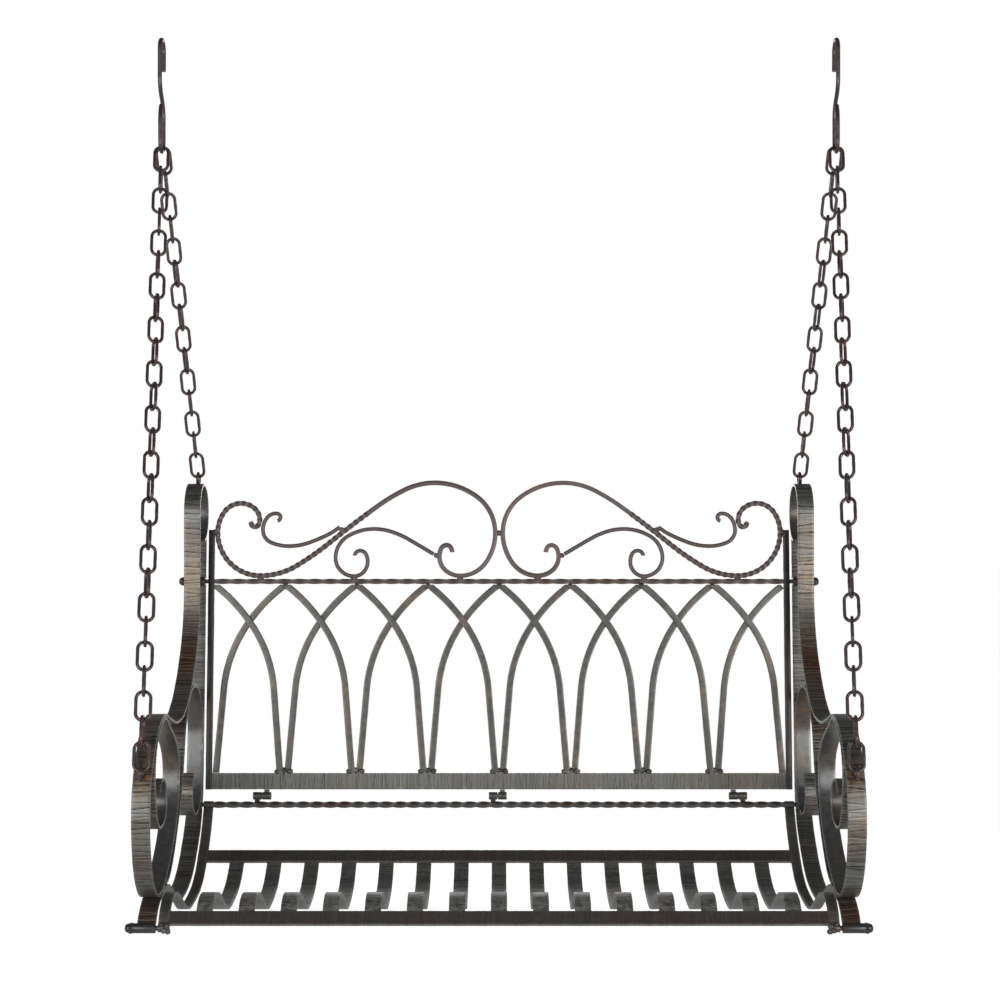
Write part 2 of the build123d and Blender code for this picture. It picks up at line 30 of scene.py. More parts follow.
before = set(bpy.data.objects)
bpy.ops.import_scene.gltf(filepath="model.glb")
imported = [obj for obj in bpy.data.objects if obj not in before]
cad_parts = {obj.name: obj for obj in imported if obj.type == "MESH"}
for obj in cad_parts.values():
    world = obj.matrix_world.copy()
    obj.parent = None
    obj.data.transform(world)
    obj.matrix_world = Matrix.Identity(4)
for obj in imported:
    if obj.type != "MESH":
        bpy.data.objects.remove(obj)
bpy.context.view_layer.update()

# Vector noise starts from the clock unless it is given a seed
NOISE_SEED = 3
noise.seed_set(NOISE_SEED)

# Sizes repeated from the part, in millimetres
HANG_DEPTH = 339.713
HANG_HEIGHT = 1583.726
RING_MIDDLE = (HANG_DEPTH, 1396.726)
FRAME_INNER = 583.0
FRAME_MID = 599.0
FRAME_OUTER = 615.0
BAR_WIDTH = 32.0
BAR_THICKNESS = 5.0
SEAT_INNER = 560.0
SEAT_OUTER = 579.0
SEAT_THICKNESS = 5.0
SLAT_COUNT = 15
SLAT_WIDTH = 28.0
FRONT_RAIL_WIDTH = 28
REAR_RAIL_WIDTH = 30
SEATING_GAP = 0.3
BUSH_REACH = 8.8
LUG_REACH = 7.3
SEAT_HINGE_AXIS = (515.0, 129.0)
HINGE_RAIL_SIZE = 9.6
HINGE_RAIL_TWIST = 109.0
HINGE_PIN_AXIS = (524.0, 145.0)
BACK_LEAN = 5.2
BACK_INNER = 565.0
UPRIGHT_SIZE = 12.0
UPRIGHT_CORNER = 2.6
UPRIGHT_TOP = 524.0
BOTTOM_RAIL_FOOT = 12.5
BOTTOM_RAIL_HEIGHT = 32.0
BOTTOM_RAIL_THICKNESS = 5.0
TOP_RAIL_RISE = 421.7
TOP_RAIL_SIZE = 8.5
TOP_RAIL_TWIST = 122.0
CREST_TWIST = 52.0
CREST_TWIST_SHARE = 0.5
BAY_COUNT = 8
ARCH_BAR_WIDTH = 13.0
ARCH_BAR_THICKNESS = 4.0
ARCH_FOOT_OFFSET = 7.4
ARCH_LEG_LEAN = 4.7
ARCH_LEG_RISE = 165.0
ARCH_HEAD_HEADING = 37.0
REAR_ARCH_STEPS = (-4.0,)
FRONT_ARCH_STEPS = (0.0, 20.0)
SCROLL_RADIUS = 5
SCROLL_MEETING = 96.4
TENDRIL_RADIUS = 4.0
HOOK_SPACING = 1262.0
HOOK_WIRE = 8.0
RING_RADIUS = 18.0
HOOK_RADIUS = 22.0
HOOK_RISE = 169.0
HOOK_TIP_DROP = 33.0
CHAIN_WIRE = 6.0
CHAIN_PITCH = 43.4
LINK_CLEARANCE = 0.2
LINK_INNER_WIDTH = 19.0
FRONT_LINKS = 27
REAR_LINKS = 15
EYE_RADIUS = 10.5
EYE_WIRE = 7.0
REAR_EYE_ANGLE = 70.0
LOOP_CENTRE = (552.0, 701.0)
LOOP_RADIUS = 58.0
METRES = 0.001

# Peening: ranges and shares of the spacing between two lines, and the skew of a line across the bar
PEEN_START = (0.2, 1.0)
PEEN_STEP = (0.55, 1.4)
PEEN_DEPTH = (0.25, 1.0)
PEEN_SKEW = 0.12
PEEN_WANDER = 0.10
LINE_SHARE = 0.095
LINES_NEAR = 9
# Peened face: share of the thickness that counts as face, and what lands, lips and edges take of the depth
FACE_SHARE = 0.45
LAND_SINK = 0.3
LIP_RISE = 0.2
EDGE_SINK = 0.6
BURNT_LIP_GAIN = 2.5
# Broken edge of flat bar, pale rim along it, and the strip of it that sinks, in millimetres
BAR_EDGE = 0.7
RIM_WIDTH = 1.4
EDGE_REACH = 0.5
# Chain: degrees that links turn towards mid-chain, and length and swell of a link's weld
LINK_DRIFT = 26.0
LINK_WELD_LENGTH = 2.2
LINK_WELD_SWELL = 0.16
# Degrees and millimetres for smooth shading and for the pieces that keep their CAD shape
SMOOTH_ANGLE = 38
CAD_WELD_REACH = 0.02
CAD_EDGE = 0.6
CAD_EDGE_ANGLE = 40
# Weld beads in millimetres, at the feet and heads of the arches and under the eyes
FOOT_BEADS = ((-12, 3), (0, 5), (12, 3))
HEAD_BEAD_DROP = 3
EYE_BEAD_RISE = 2
# Lacquer in millimetres: rubbed patches, dabs of the brush, and grit drawn coarser than life so that it shows
RUBBED_PATCH = 90
LACQUER_DAB = 11
LACQUER_GRIT = 1.5
# Camera and floor, from the axis of the front bolts, and lamps in metres
CAMERA_DISTANCE = 3300
CAMERA_HEIGHT = 726.7
FLOOR_DEPTH = 440
LAMP_SIZE = 1.6
LAMP_TARGET = Vector((0, 0, -0.9))


# Runs: a station is a place on a plane and a heading in degrees, and two arcs join each pair
def direction(heading):
    """Unit step along a heading."""
    return (math.cos(math.radians(heading)), math.sin(math.radians(heading)))


def beside(station, distance):
    """Station moved to its own left by a distance."""
    along, across = direction(station[2])
    return (station[0] - distance * across, station[1] + distance * along, station[2])


def ahead(station, distance):
    """Station moved along its own heading by a distance."""
    along, across = direction(station[2])
    return (station[0] + distance * along, station[1] + distance * across, station[2])


def turned(station):
    """Station with its heading reversed."""
    return (station[0], station[1], station[2] + 180)


def on_circle(centre, radius, angle):
    """Station on a circle that is run anticlockwise."""
    step = direction(angle)
    return (centre[0] + radius * step[0], centre[1] + radius * step[1], angle + 90)


def flipped(stations):
    """The same run on the other half of the swing's back."""
    return [(-across, rise, 180 - heading) for across, rise, heading in stations]


def meeting(first, second):
    """Station where the two arcs from one station to the next meet."""
    start = Vector(direction(first[2]))
    end = Vector(direction(second[2]))
    step = Vector(second[:2]) - Vector(first[:2])
    lean = step.dot(start + end)
    spread = 2 * (1 - start.dot(end))
    if spread < 1e-9:
        reach = step.length_squared / (2 * lean)
    else:
        reach = (math.sqrt(lean * lean + spread * step.length_squared) - lean) / spread
    near = Vector(first[:2]) + reach * start
    far = Vector(second[:2]) - reach * end
    middle = (near + far) / 2
    return (middle.x, middle.y, math.degrees(math.atan2(far.y - near.y, far.x - near.x)))


def full_run(stations):
    """Stations with the meeting point of the two arcs put in between each pair."""
    run = [stations[0]]
    for first, second in zip(stations, stations[1:]):
        run += [meeting(first, second), second]
    return run


def arc_between(first, second):
    """Length and handle length of the arc between two neighbouring stations."""
    chord = math.dist(first[:2], second[:2])
    turn = math.radians(second[2] - first[2])
    turn = abs(math.atan2(math.sin(turn), math.cos(turn)))
    if turn < 1e-5:
        return chord, chord / 3
    radius = chord / (2 * math.sin(turn / 2))
    return radius * turn, radius * math.tan(turn / 4) * 4 / 3


def run_length(run):
    """Length of a full run."""
    return sum(arc_between(first, second)[0] for first, second in zip(run, run[1:]))


def guide_curve(run):
    """Flat curve along a full run, for bending a blank."""
    curve = bpy.data.curves.new("bending_guide", "CURVE")
    curve.dimensions = "2D"
    curve.resolution_u = 20
    spline = curve.splines.new("BEZIER")
    spline.bezier_points.add(len(run) - 1)
    for point, station in zip(spline.bezier_points, run):
        point.co = (station[0], station[1], 0)
        point.handle_left_type = "FREE"
        point.handle_right_type = "FREE"
        point.handle_left = point.co
        point.handle_right = point.co
    for index, (first, second) in enumerate(zip(run, run[1:])):
        handle = arc_between(first, second)[1]
        spline.bezier_points[index].handle_right = (*ahead(first, handle)[:2], 0)
        spline.bezier_points[index + 1].handle_left = (*ahead(second, -handle)[:2], 0)
    guide = bpy.data.objects.new("bending_guide", curve)
    bpy.context.collection.objects.link(guide)
    return guide


# Places: from a drawing plane in millimetres to the row frame in metres
def side_place(across):
    """From depth, height and offset across to the row frame."""
    turn = Matrix(((0, 0, 1, across), (1, 0, 0, -HANG_DEPTH), (0, 1, 0, -HANG_HEIGHT), (0, 0, 0, 1)))
    return Matrix.Scale(METRES, 4) @ turn


def back_place():
    """From across, rise up the back's slope and offset to the front to the row frame."""
    along, up = math.sin(math.radians(BACK_LEAN)), math.cos(math.radians(BACK_LEAN))
    depth = HINGE_PIN_AXIS[0] - HANG_DEPTH
    height = HINGE_PIN_AXIS[1] - HANG_HEIGHT
    turn = Matrix(((1, 0, 0, 0), (0, along, -up, depth), (0, up, along, height), (0, 0, 0, 1)))
    return Matrix.Scale(METRES, 4) @ turn


def across_place(axis):
    """From a bar along X to a place at a depth and height in the row frame."""
    lift = Matrix.Translation((0, axis[0] - HANG_DEPTH, axis[1] - HANG_HEIGHT))
    return Matrix.Scale(METRES, 4) @ lift


# Bench work: blanks, cuts, hammering, twisting and bending
PEEN_NOTES = ("peened", "groove", "lip", "land", "rim", "worn", "burnt")


def only(piece):
    """Select one piece alone and make it active."""
    bpy.ops.object.select_all(action="DESELECT")
    piece.select_set(True)
    bpy.context.view_layer.objects.active = piece


def pick_edges(piece, wanted):
    """Select the edges whose two ends pass a test, and go into edit mode."""
    bpy.context.tool_settings.mesh_select_mode = (False, True, False)
    mesh = piece.data
    for polygon in mesh.polygons:
        polygon.select = False
    for vertex in mesh.vertices:
        vertex.select = False
    for edge in mesh.edges:
        first, second = (mesh.vertices[index].co for index in edge.vertices)
        edge.select = wanted(first, second)
    bpy.ops.object.mode_set(mode="EDIT")


def runs_along(axis):
    """Test for edges that lie along one axis."""
    return lambda first, second: (second - first).length * 0.999 < abs((second - first)[axis])


def cut_along(piece, length, spacing):
    """Cut a blank into short lengths for bending and hammering."""
    cuts = max(2, round(math.sqrt(length / spacing)))
    for _ in range(2):
        pick_edges(piece, runs_along(0))
        bpy.ops.mesh.subdivide(number_cuts=cuts - 1)
        bpy.ops.object.mode_set(mode="OBJECT")


def flat_blank(length, low, high, spacing, cross_cuts, broken_edge):
    """Straight bar along X between two corners of its section, with broken edges."""
    bpy.ops.object.select_all(action="DESELECT")
    size = (length, high[0] - low[0], high[1] - low[1])
    middle = (length / 2, (low[0] + high[0]) / 2, (low[1] + high[1]) / 2)
    bpy.ops.mesh.primitive_cube_add(size=1, location=middle, scale=size)
    blank = bpy.context.object
    bpy.ops.object.transform_apply(location=True, rotation=True, scale=True)
    pick_edges(blank, runs_along(0))
    bpy.ops.mesh.bevel(offset=broken_edge, segments=2, affect="EDGES")
    bpy.ops.object.mode_set(mode="OBJECT")
    for axis, cuts in ((1, cross_cuts[0]), (2, cross_cuts[1])):
        if cuts:
            reach = size[axis] / 2
            along = runs_along(axis)
            pick_edges(blank, lambda first, second: along(first, second) and (second - first).length > reach)
            bpy.ops.mesh.subdivide(number_cuts=cuts)
            bpy.ops.object.mode_set(mode="OBJECT")
    cut_along(blank, length, spacing)
    return blank


def round_blank(length, radius, spacing, sides, rounding):
    """Straight round bar along X with rounded ends."""
    bpy.ops.object.select_all(action="DESELECT")
    bpy.ops.mesh.primitive_cylinder_add(
        vertices=sides, radius=radius, depth=length, location=(length / 2, 0, 0), rotation=(0, math.pi / 2, 0)
    )
    blank = bpy.context.object
    bpy.ops.object.transform_apply(location=True, rotation=True, scale=True)
    pick_edges(blank, lambda first, second: abs(first.x - second.x) < 1e-4)
    bpy.ops.mesh.bevel(offset=rounding, segments=3, affect="EDGES")
    bpy.ops.object.mode_set(mode="OBJECT")
    cut_along(blank, length, spacing)
    return blank


def peen_lines(length, spacing, luck):
    """Cross lines that a peen leaves along a bar: place, skew, depth, lip and level of the land after it."""
    lines = []
    place = luck.uniform(*PEEN_START) * spacing
    while place < length + spacing:
        depth = luck.uniform(*PEEN_DEPTH)
        lip = luck.uniform(0.0, 1.0) ** 1.3
        lines.append((place, luck.uniform(-PEEN_SKEW, PEEN_SKEW), depth, lip, luck.uniform(0.0, 1.0)))
        place += spacing * luck.uniform(*PEEN_STEP)
    return lines


def spot_level(place, spots):
    """How strongly a place along a bar lies in one of its spots, each a place, a spread and a strength."""
    levels = [strength * math.exp(-(((place - spot) / spread) ** 2)) for spot, spread, strength in spots]
    return max(levels, default=0.0)


def hammer(bar, length, face, width_axis, depth, spacing, seed, worn=(), burnt=()):
    """Peen one face of a straight bar, and note the marks, rims, worn and burnt spots on its points."""
    lines = peen_lines(length, spacing, random.Random(seed))
    mesh = bar.data
    thick_axis = 3 - width_axis
    low = min(vertex.co[width_axis] for vertex in mesh.vertices)
    high = max(vertex.co[width_axis] for vertex in mesh.vertices)
    thick_low = min(vertex.co[thick_axis] for vertex in mesh.vertices)
    thick_high = max(vertex.co[thick_axis] for vertex in mesh.vertices)
    inward = 1 if face == "low" else -1
    surface = thick_low if face == "low" else thick_high
    middle = (low + high) / 2
    line_width = spacing * LINE_SHARE
    for name in PEEN_NOTES:
        mesh.attributes.new(name, "FLOAT", "POINT")
    notes = {name: mesh.attributes[name] for name in PEEN_NOTES}
    nearest = 0
    for index in sorted(range(len(mesh.vertices)), key=lambda number: mesh.vertices[number].co.x):
        point = mesh.vertices[index].co
        across = point[width_axis]
        wander = noise.noise(Vector((point.x * 0.02 + seed, across * 0.04, seed))) * spacing * PEEN_WANDER
        while nearest + 1 < len(lines) and lines[nearest + 1][0] < point.x - 2 * spacing:
            nearest += 1
        cut = 0.0
        raised = 0.0
        land = 0.5
        for line_place, skew, strength, lip, level in lines[nearest:nearest + LINES_NEAR]:
            offset = point.x + wander - line_place - skew * (across - middle)
            if offset < -2 * spacing:
                break
            patch = 0.8 + 0.4 * noise.noise(Vector((line_place * 0.7, across * 0.12, seed + 7)))
            cut = max(cut, strength * patch * math.exp(-((offset / line_width) ** 2)))
            raised = max(raised, lip * patch * math.exp(-((offset / line_width - 2) ** 2)))
            if offset > 0:
                land = level
        edge_gap = min(across - low, high - across)
        notes["rim"].data[index].value = max(0.0, 1 - edge_gap / RIM_WIDTH)
        notes["worn"].data[index].value = spot_level(point.x, worn)
        heat = spot_level(point.x, burnt)
        notes["burnt"].data[index].value = heat
        notes["land"].data[index].value = 0.5
        if abs(point[thick_axis] - surface) < (thick_high - thick_low) * FACE_SHARE:
            notes["peened"].data[index].value = 1.0
            notes["groove"].data[index].value = min(1.0, cut)
            notes["lip"].data[index].value = min(1.0, raised * (1 + BURNT_LIP_GAIN * heat))
            notes["land"].data[index].value = land
            point[thick_axis] += inward * depth * (cut + LAND_SINK * land + LIP_RISE * (1 - raised))
        if edge_gap < EDGE_REACH:
            point[width_axis] += (1 if across < middle else -1) * depth * EDGE_SINK * land


def soften(bar, amount, grain, seed):
    """Small unevenness of hand work over a whole piece."""
    for vertex in bar.data.vertices:
        point = vertex.co
        vertex.co += amount * noise.noise_vector(point / grain + Vector((seed, 0, 0)))


def twist(bar, turns, share=1.0):
    """Twist a straight bar about its own length, over a share of it from its start."""
    only(bar)
    modifier = bar.modifiers.new("Twist", "SIMPLE_DEFORM")
    modifier.deform_method = "TWIST"
    modifier.deform_axis = "X"
    modifier.angle = turns * 2 * math.pi
    modifier.limits = (0.0, share)
    bpy.ops.object.modifier_apply(modifier="Twist")


def bend(bar, run):
    """Bend a straight bar along a full run."""
    guide = guide_curve(run)
    only(bar)
    modifier = bar.modifiers.new("Bend", "CURVE")
    modifier.object = guide
    modifier.deform_axis = "POS_X"
    bpy.ops.object.modifier_apply(modifier="Bend")
    bpy.data.objects.remove(guide, do_unlink=True)


def settle(piece, name, place, body, material, nodes=()):
    """Put a finished piece into the row frame, name it, dress it and hang it on its body."""
    only(piece)
    piece.data.transform(place)
    bpy.ops.object.shade_smooth_by_angle(angle=math.radians(SMOOTH_ANGLE))
    piece.name = name
    piece.data.name = name
    piece.data.materials.clear()
    piece.data.materials.append(material)
    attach(piece, body)
    if nodes:
        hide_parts(*nodes)


def join(pieces):
    """Join pieces into the first one."""
    bpy.ops.object.select_all(action="DESELECT")
    for piece in pieces:
        piece.select_set(True)
    bpy.context.view_layer.objects.active = pieces[0]
    bpy.ops.object.join()
    return pieces[0]


# Materials
def linear(hex_colour):
    """Linear colour of an sRGB hex value."""
    values = [int(hex_colour[start:start + 2], 16) / 255 for start in (1, 3, 5)]
    return [value / 12.92 if value <= 0.04045 else ((value + 0.055) / 1.055) ** 2.4 for value in values] + [1]


def node(tree, kind, settings=None, out=0, **sockets):
    """Add a node with its settings, set or link its sockets, and give one of its outputs."""
    made = tree.nodes.new(kind)
    for key, value in (settings or {}).items():
        setattr(made, key, value)
    for key, value in sockets.items():
        by_number = key[0] == "i" and key[1:].isdigit()
        socket = made.inputs[int(key[1:]) if by_number else key.replace("_", " ")]
        if isinstance(value, bpy.types.NodeSocket):
            tree.links.new(value, socket)
        else:
            socket.default_value = value
    return made.outputs[out] if made.outputs else None


# Kinds of node that the iron is mixed with: kind, settings and output
TIMES = ("ShaderNodeMath", {"operation": "MULTIPLY", "use_clamp": True})
PLUS = ("ShaderNodeMath", {"operation": "ADD", "use_clamp": True})
TIMES_PLUS = ("ShaderNodeMath", {"operation": "MULTIPLY_ADD", "use_clamp": True})
SPREAD = ("ShaderNodeMapRange", {"clamp": True})
BLEND = ("ShaderNodeMix", {"data_type": "RGBA"}, 2)


def per_mm(size):
    """Texture scale, in metres, for a pattern of a size in millimetres."""
    return 1 / (size * METRES)


def painted_iron(name, dark, pale, smooth, rust, rub, wear, roughness, metallic, grain=1.0):
    """Rubbed lacquer over iron: black peen lines, pale lips and rims, and a bare tint where it is worn."""
    material = bpy.data.materials.new(name)
    material.use_nodes = True
    tree = material.node_tree
    tree.nodes.clear()
    spot = node(tree, "ShaderNodeTexCoord", out="Object")
    note = {}
    for key in PEEN_NOTES:
        note[key] = node(tree, "ShaderNodeAttribute", {"attribute_name": key}, "Fac")
    cloud = node(tree, "ShaderNodeTexNoise", Vector=spot, Scale=per_mm(RUBBED_PATCH), Detail=3.0)
    mottle = node(tree, "ShaderNodeTexNoise", Vector=spot, Scale=per_mm(LACQUER_DAB), Detail=5.0)
    grit = node(tree, "ShaderNodeTexNoise", Vector=spot, Scale=per_mm(LACQUER_GRIT), Detail=3.0)

    # Peened face: each land has its own tone, over rusty patches
    stain = node(tree, *TIMES_PLUS, i0=mottle, i1=0.5, i2=0.2 - 0.18 * grain)
    land_tone = node(tree, *TIMES_PLUS, i0=note["land"], i1=0.36 * grain, i2=stain)
    rust_share = node(tree, *SPREAD, i0=cloud, i1=0.44, i2=0.62)
    rusty = node(tree, *BLEND, i0=rust_share, i6=linear(dark), i7=linear(rust))
    lands = node(tree, *BLEND, i0=land_tone, i6=rusty, i7=linear(pale))
    heat_dabs = node(tree, *SPREAD, i0=mottle, i1=0.2, i2=0.5)
    heat_share = node(tree, *TIMES, i0=note["burnt"], i1=heat_dabs)
    peened = node(tree, *BLEND, i0=heat_share, i6=lands, i7=linear(BURNT_COLOUR))

    # Plain faces: even lacquer with warm patches
    paler = node(tree, *BLEND, i0=0.35, i6=linear(smooth), i7=linear(pale))
    lacquer_dabs = node(tree, *SPREAD, i0=mottle, i1=0.3, i2=0.75)
    lacquer = node(tree, *BLEND, i0=lacquer_dabs, i6=linear(smooth), i7=paler)
    warm = node(tree, *BLEND, i0=0.35, i6=linear(rust), i7=linear(rub))
    warm_patches = node(tree, *SPREAD, i0=cloud, i1=0.47, i2=0.68)
    warm_dabs = node(tree, *SPREAD, i0=mottle, i1=0.3, i2=0.62)
    warm_share = node(tree, *TIMES, i0=warm_patches, i1=warm_dabs)
    plain = node(tree, *BLEND, i0=warm_share, i6=lacquer, i7=warm)

    # Over both: bare spots, pale lips and rims, then the black of the lines
    worn_patches = node(tree, *SPREAD, i0=cloud, i1=0.56, i2=0.72)
    worn_share = node(tree, *TIMES, i0=worn_patches, i1=wear)
    bare = node(tree, *PLUS, i0=worn_share, i1=note["worn"])
    bare_dabs = node(tree, *SPREAD, i0=mottle, i1=0.38, i2=0.6)
    bare_share = node(tree, *TIMES, i0=bare, i1=bare_dabs)
    lip_share = node(tree, *TIMES, i0=note["lip"], i1=0.8 * grain)
    rim_grit = node(tree, *SPREAD, i0=grit, i1=0.3, i2=0.8)
    rim_share = node(tree, *TIMES, i0=note["rim"], i1=rim_grit)
    line_share = node(tree, *TIMES, i0=note["groove"], i1=1.6 * grain)
    colour = node(tree, *BLEND, i0=note["peened"], i6=plain, i7=peened)
    for share, tint in (
        (bare_share, rub),
        (lip_share, LIP_COLOUR),
        (rim_share, RIM_COLOUR),
        (line_share, GROOVE_COLOUR),
    ):
        colour = node(tree, *BLEND, i0=share, i6=colour, i7=linear(tint))

    relief = node(tree, *TIMES_PLUS, i0=grit, i1=0.4, i2=mottle)
    normal = node(tree, "ShaderNodeBump", Strength=0.3, Distance=0.0004, Height=relief)
    uneven = node(tree, *SPREAD, i0=mottle, i3=roughness - 0.18, i4=roughness + 0.06)
    rough = node(tree, *TIMES_PLUS, i0=note["peened"], i1=0.08, i2=uneven)
    shader = node(
        tree, "ShaderNodeBsdfPrincipled", Base_Color=colour, Roughness=rough, Metallic=metallic, Normal=normal
    )
    node(tree, "ShaderNodeOutputMaterial", Surface=shader)
    return material


GROOVE_COLOUR = "#0b0908"
BURNT_COLOUR = "#603f2c"
LIP_COLOUR = "#aca69a"
RIM_COLOUR = "#a9aaa6"
# Flat bar of the side frames: olive-grey lacquer with black peen lines, rubbed through to a tan
side_iron = painted_iron(
    "peened_iron_bronze_lacquer",
    dark="#474540", pale="#8d8e89", smooth="#595a5a", rust="#564335", rub="#a98a68",
    wear=0.12, roughness=0.38, metallic=0.7,
)
# Seat supports and rear posts lie behind the arms, in their shade: the same bar in a darker, less rubbed
# lacquer, which is painted shade
post_iron_painted_shade = painted_iron(
    "peened_iron_painted_shade_lacquer",
    dark="#393836", pale="#807f7b", smooth="#535352", rust="#42362f", rub="#8a6a50",
    wear=0.1, roughness=0.42, metallic=0.65, grain=0.9,
)
# Slats stay dark, with fine pale lines across, and are rubbed to a pale grey at the front, which also paints
# a highlight on the curl's underside
seat_iron = painted_iron(
    "peened_iron_dark_lacquer",
    dark="#474644", pale="#9a9994", smooth="#535352", rust="#463b35", rub="#9e9c95",
    wear=0.1, roughness=0.45, metallic=0.6, grain=0.8,
)
# Seat rails, side bars, lugs and the twisted hinge rail are the plainest iron, an even brown black
rail_iron = painted_iron(
    "rolled_iron_dark_lacquer",
    dark="#413e3c", pale="#68645f", smooth="#575756", rust="#443731", rub="#6a5040",
    wear=0.1, roughness=0.48, metallic=0.55, grain=0.25,
)
# Arch bars and the rail below them: an even olive grey. The hinge knuckles take it too, a paler iron than the
# other turned pieces, as painted light in the shade under the bottom rail
arch_iron = painted_iron(
    "smooth_iron_bronze_lacquer",
    dark="#5e5e5b", pale="#868580", smooth="#565653", rust="#645d56", rub="#94836b",
    wear=0.2, roughness=0.42, metallic=0.6, grain=0.7,
)
# Twisted top rail and the rods of the crest: brown lacquer over black iron
rod_iron = painted_iron(
    "twisted_iron_brown_lacquer",
    dark="#473f3e", pale="#837977", smooth="#635a59", rust="#4a3c36", rub="#8a6a58",
    wear=0.25, roughness=0.48, metallic=0.35,
)
# Square uprights: near-black lacquer with hardly any wear
black_iron = painted_iron(
    "square_iron_black_lacquer",
    dark="#2b2a2a", pale="#474646", smooth="#302f2f", rust="#342d2a", rub="#5f5046",
    wear=0.1, roughness=0.48, metallic=0.6,
)
# Barrels and nuts are turned: an even dark grey with a soft shine along the round
turned_iron = painted_iron(
    "turned_iron_grey_lacquer",
    dark="#3c3b3b", pale="#6a6968", smooth="#434242", rust="#40362f", rub="#7a5a48",
    wear=0.2, roughness=0.4, metallic=0.65,
)
# Chain and hooks: plum-brown lacquer, brighter on the round of the wire
chain_iron = painted_iron(
    "welded_chain_brown_lacquer",
    dark="#453a3d", pale="#7a6d70", smooth="#504548", rust="#4c3a38", rub="#8a6656",
    wear=0.25, roughness=0.36, metallic=0.65,
)

# Side frames
post_heading = 90 - BACK_LEAN
upper_bolt_axis = ahead((*HINGE_PIN_AXIS, post_heading), TOP_RAIL_RISE)[:2]
post_at_bolt = beside((*upper_bolt_axis, post_heading), -BUSH_REACH)


def post_station(height):
    """Station on the front face of the rear post at a height."""
    depth = post_at_bolt[0] + (height - post_at_bolt[1]) * math.tan(math.radians(BACK_LEAN))
    return (depth, height, post_heading)


band_foot = (LOOP_CENTRE[0] - LOOP_RADIUS, 560, 270)
arm_bend = (440, 424, 228)
arm_rest = (367, 359, 214)
arm_crest = (105, 352, 180)
front_eye_seat = (-35, 262, 240)
support_rest = (70, 46, 15)
support_crest = (112, 51, 0)
arm_run = [
    on_circle(LOOP_CENTRE, LOOP_RADIUS, -80),
    on_circle(LOOP_CENTRE, LOOP_RADIUS, 0),
    on_circle(LOOP_CENTRE, LOOP_RADIUS, 90),
    on_circle(LOOP_CENTRE, LOOP_RADIUS, 180),
    band_foot,
    arm_bend,
    arm_rest,
    (330, 340, 206),
    (240, 325, 180),
    (165, 338, 168),
    arm_crest,
    (17, 323, 222),
    front_eye_seat,
    (-53, 190, 270),
    (-28, 94, 301),
    beside(support_rest, SEATING_GAP),
    (176, 102, 36),
    (258, 232, 90),
    (205, 300, 150),
    (145, 330, 155),
    beside(arm_crest, BAR_THICKNESS + SEATING_GAP),
    (0, 256, 270),
    (62, 158, 0),
    (121, 203, 90),
    (78, 243, 180),
    (48, 222, 250),
]
post_depth = post_station(LOOP_CENTRE[1] - LOOP_RADIUS)[0]
post_top = LOOP_CENTRE[1] - math.sqrt(LOOP_RADIUS**2 - (post_depth - LOOP_CENTRE[0]) ** 2) - SEATING_GAP
support_root = (*on_circle((0, 0), BUSH_REACH, 50)[:2], 50)
support_run = [
    beside(support_root, BAR_THICKNESS / 2),
    support_rest,
    support_crest,
    (195, 24, -29),
    (278, -4, 0),
    (439, 38, 35),
    beside((*SEAT_HINGE_AXIS, 68), -BUSH_REACH),
    post_station(160),
    post_station(post_top),
]
infill_rest = turned(beside(arm_rest, BAR_THICKNESS + SEATING_GAP))
infill_run = [
    beside(support_crest, BAR_THICKNESS + SEATING_GAP),
    (188, 92, 42),
    (268, 182, 57),
    infill_rest,
    (430, 371, 0),
    turned(beside(post_station(262), SEATING_GAP)),
    (455, 118, 180),
    (402, 165, 90),
    (418, 205, 60),
]


def peened_bar(run, section, face, seed, depth=0.5, spacing=8.5, cuts=(0, 7), step=1.5, worn=(), burnt=()):
    """Flat bar peened on one face and bent along a run, standing to the left of it."""
    bends = full_run(run)
    length = run_length(bends)
    blank = flat_blank(length, (0, 0), section, step, cuts, BAR_EDGE)
    hammer(blank, length, face, 2, depth, spacing, seed, worn, burnt)
    bend(blank, bends)
    return blank


def under(run, thickness):
    """The same run moved to the other face of a bar whose upper face lies on it."""
    return [beside(station, -thickness) for station in run]


def length_to(run, station):
    """Length along a run to one of its stations."""
    return run_length(full_run(run[:run.index(station) + 1]))


# Hands and chains have rubbed the arm bar on its upright band and round the front eye
arm_wear = ((length_to(arm_run, band_foot) - 20, 45, 0.5), (length_to(arm_run, front_eye_seat), 24, 1.0))
# Welding heat has burnt the lacquer red brown low on that band, on the infill and at the support's foot
arm_heat = ((length_to(arm_run, arm_bend) + 10, 55, 1.0),)
infill_heat = ((length_to(infill_run, infill_rest) - 40, 35, 0.8),)
support_heat = ((15, 28, 0.8),)
bar_section = (BAR_THICKNESS, BAR_WIDTH)
for number, (side, across) in enumerate((("left", -FRAME_OUTER), ("right", FRAME_INNER))):
    place = side_place(across)
    arm = peened_bar(arm_run, bar_section, "low", 11 + number, worn=arm_wear, burnt=arm_heat)
    settle(arm, side + "_arm", place, "swing", side_iron, [side + "_arm_bar"])
    support_face = under(support_run, BAR_THICKNESS)
    support = peened_bar(support_face, bar_section, "high", 21 + number, burnt=support_heat)
    settle(support, side + "_support", place, "swing", post_iron_painted_shade, [side + "_seat_support"])
    infill_face = under(infill_run, BAR_THICKNESS)
    infill = peened_bar(infill_face, bar_section, "high", 31 + number, burnt=infill_heat)
    settle(infill, side + "_infill", place, "swing", side_iron, [side + "_infill_scroll"])

